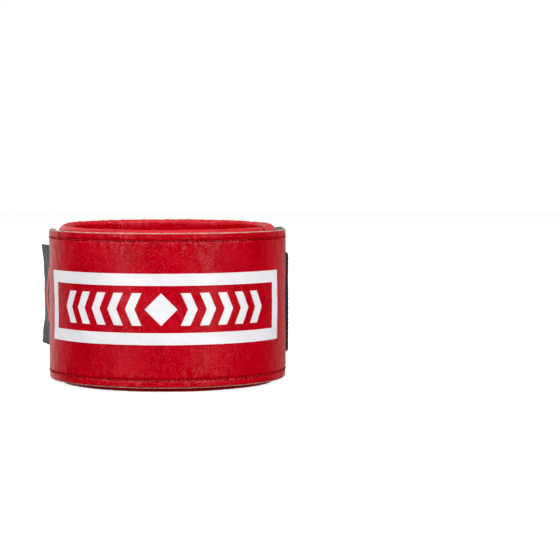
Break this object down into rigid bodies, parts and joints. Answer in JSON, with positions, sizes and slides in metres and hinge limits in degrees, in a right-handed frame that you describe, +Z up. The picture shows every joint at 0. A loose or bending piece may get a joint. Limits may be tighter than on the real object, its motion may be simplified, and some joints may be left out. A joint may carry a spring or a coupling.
{
  "type": "hook-and-loop wrist cuff",
  "caption": "Padded red leather wrist cuff for boxing, closed by a wide printed hook-and-loop strap with a black leather pull tab.",
  "frame": {"origin": "centre of the round wrist opening, on its axis at half the cuff's height", "axes": "+Z up along the opening's axis, -Y out through the printed front of the strap, -X towards the strap's free end and its pull tab"},
  "size_m": [0.131, 0.1364, 0.081],
  "materials": {
    "red_leather": "semi-gloss, fine pebble grain",
    "lining": "smooth, soft sheen",
    "padding": "closed-cell foam, hidden inside",
    "backing": "black napped backing",
    "thread": "waxed polyester, red",
    "loop_tape": "brushed nylon loop pile",
    "hook_tape": "moulded nylon hooks",
    "white_print": "satin printed film",
    "black_tape": "grained black leather, semi-gloss",
    "black_leather": "grained black leather with raw edges",
    "red_print": "satin printed film"
  },
  "bodies": {
    "cuff": {"cuff_lining": "lining", "cuff_padding": "padding", "cuff_cover": "red_leather", "cuff_rim_top": "red_leather", "cuff_rim_bottom": "red_leather", "cuff_end_binding": "red_leather", "loop_patch_rear": "loop_tape", "anchor_pad": "padding", "anchor_backing": "backing", "anchor_interlining": "padding", "anchor_cover": "red_leather", "anchor_thread_upper": "thread", "anchor_thread_lower": "thread", "anchor_tape": "black_tape"},
    "cuff_wing": {"wing_lining": "lining", "wing_padding": "padding", "wing_cover": "red_leather", "wing_rim_top": "red_leather", "wing_rim_bottom": "red_leather", "wing_end_binding": "red_leather", "loop_patch_side": "loop_tape"},
    "flap_root": {"strap_backing_root": "backing", "strap_interlining_root": "padding", "strap_cover_root": "red_leather", "strap_thread_upper_root": "thread", "strap_thread_lower_root": "thread", "print_frame_root": "white_print", "print_marks_root": "white_print"},
    "flap_middle": {"strap_backing_middle": "backing", "strap_interlining_middle": "padding", "strap_cover_middle": "red_leather", "strap_thread_upper_middle": "thread", "strap_thread_lower_middle": "thread", "print_frame_middle": "white_print", "print_marks_middle": "white_print", "hook_patch_middle": "hook_tape"},
    "flap_tip": {"strap_backing_tip": "backing", "strap_interlining_tip": "padding", "strap_cover_tip": "red_leather", "strap_thread_upper_tip": "thread", "strap_thread_lower_tip": "thread", "hook_patch_tip": "hook_tape", "pull_tab_root": "black_leather"},
    "pull_tab": {"pull_tab_leather": "black_leather", "pull_tab_backing": "black_leather", "pull_tab_mark": "red_print"}
  },
  "joints": [
    {"name": "flap_open", "type": "hinge", "parent": "cuff", "child": "flap_root", "pos_m": [0.05835, -0.01896, 0], "axis": [0, 0, 1], "range_deg": [0, 45]},
    {"name": "flap_bend_middle", "type": "hinge", "parent": "flap_root", "child": "flap_middle", "pos_m": [-0.00428, -0.0612, 0], "axis": [0, 0, 1], "range_deg": [0, 45]},
    {"name": "flap_bend_tip", "type": "hinge", "parent": "flap_middle", "child": "flap_tip", "pos_m": [-0.06001, -0.01276, 0], "axis": [0, 0, 1], "range_deg": [0, 27]},
    {"name": "cuff_spread", "type": "hinge", "parent": "cuff", "child": "cuff_wing", "pos_m": [-0.04052, 0.05852, 0], "axis": [0, 0, 1], "range_deg": [-27, 0]},
    {"name": "pull_tab_flex", "type": "hinge", "parent": "flap_tip", "child": "pull_tab", "pos_m": [-0.0584, 0.0283, 0], "axis": [0, 0, 1], "range_deg": [-10, 60], "stiffness_Nm_per_rad": 0.002}
  ],
  "couplings": [
    {"joint": "flap_bend_middle", "follows": "flap_open", "ratio": 1},
    {"joint": "flap_bend_tip", "follows": "flap_open", "ratio": 0.6},
    {"joint": "cuff_spread", "follows": "flap_open", "ratio": -0.6}
  ]
}
